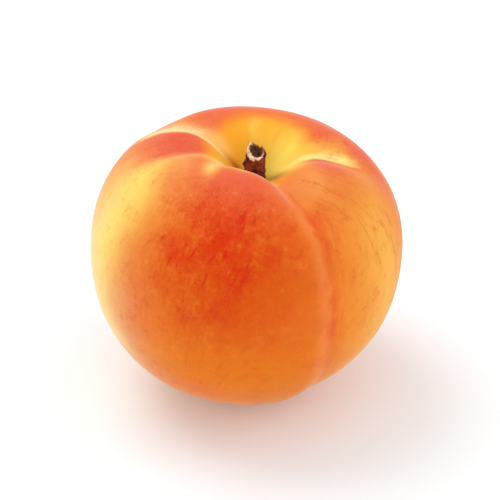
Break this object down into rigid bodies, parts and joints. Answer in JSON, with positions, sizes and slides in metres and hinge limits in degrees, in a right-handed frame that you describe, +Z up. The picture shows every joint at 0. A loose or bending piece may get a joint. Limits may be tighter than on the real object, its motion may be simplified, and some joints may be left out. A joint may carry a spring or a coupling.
{
  "type": "apricot",
  "caption": "Round stone fruit with a deep stem cavity, lobed shoulders and a suture, and a short broken stem; rests on its blossom end.",
  "frame": {"origin": "middle of the small flat spot at the blossom end, on the surface that the fruit rests on", "axes": "+Z up, towards the stem; -Y is the front, the side that shows the broad blushed cheek with the suture to its right; +X is to the right of that side"},
  "size_m": [0.0502, 0.0496, 0.045],
  "materials": {
    "skin": "soft matte skin with a fine short down",
    "bark": "dry wrinkled bark, pale torn wood at the break"
  },
  "bodies": {
    "root": {"fruit": "skin", "stem": "bark"}
  },
  "joints": []
}
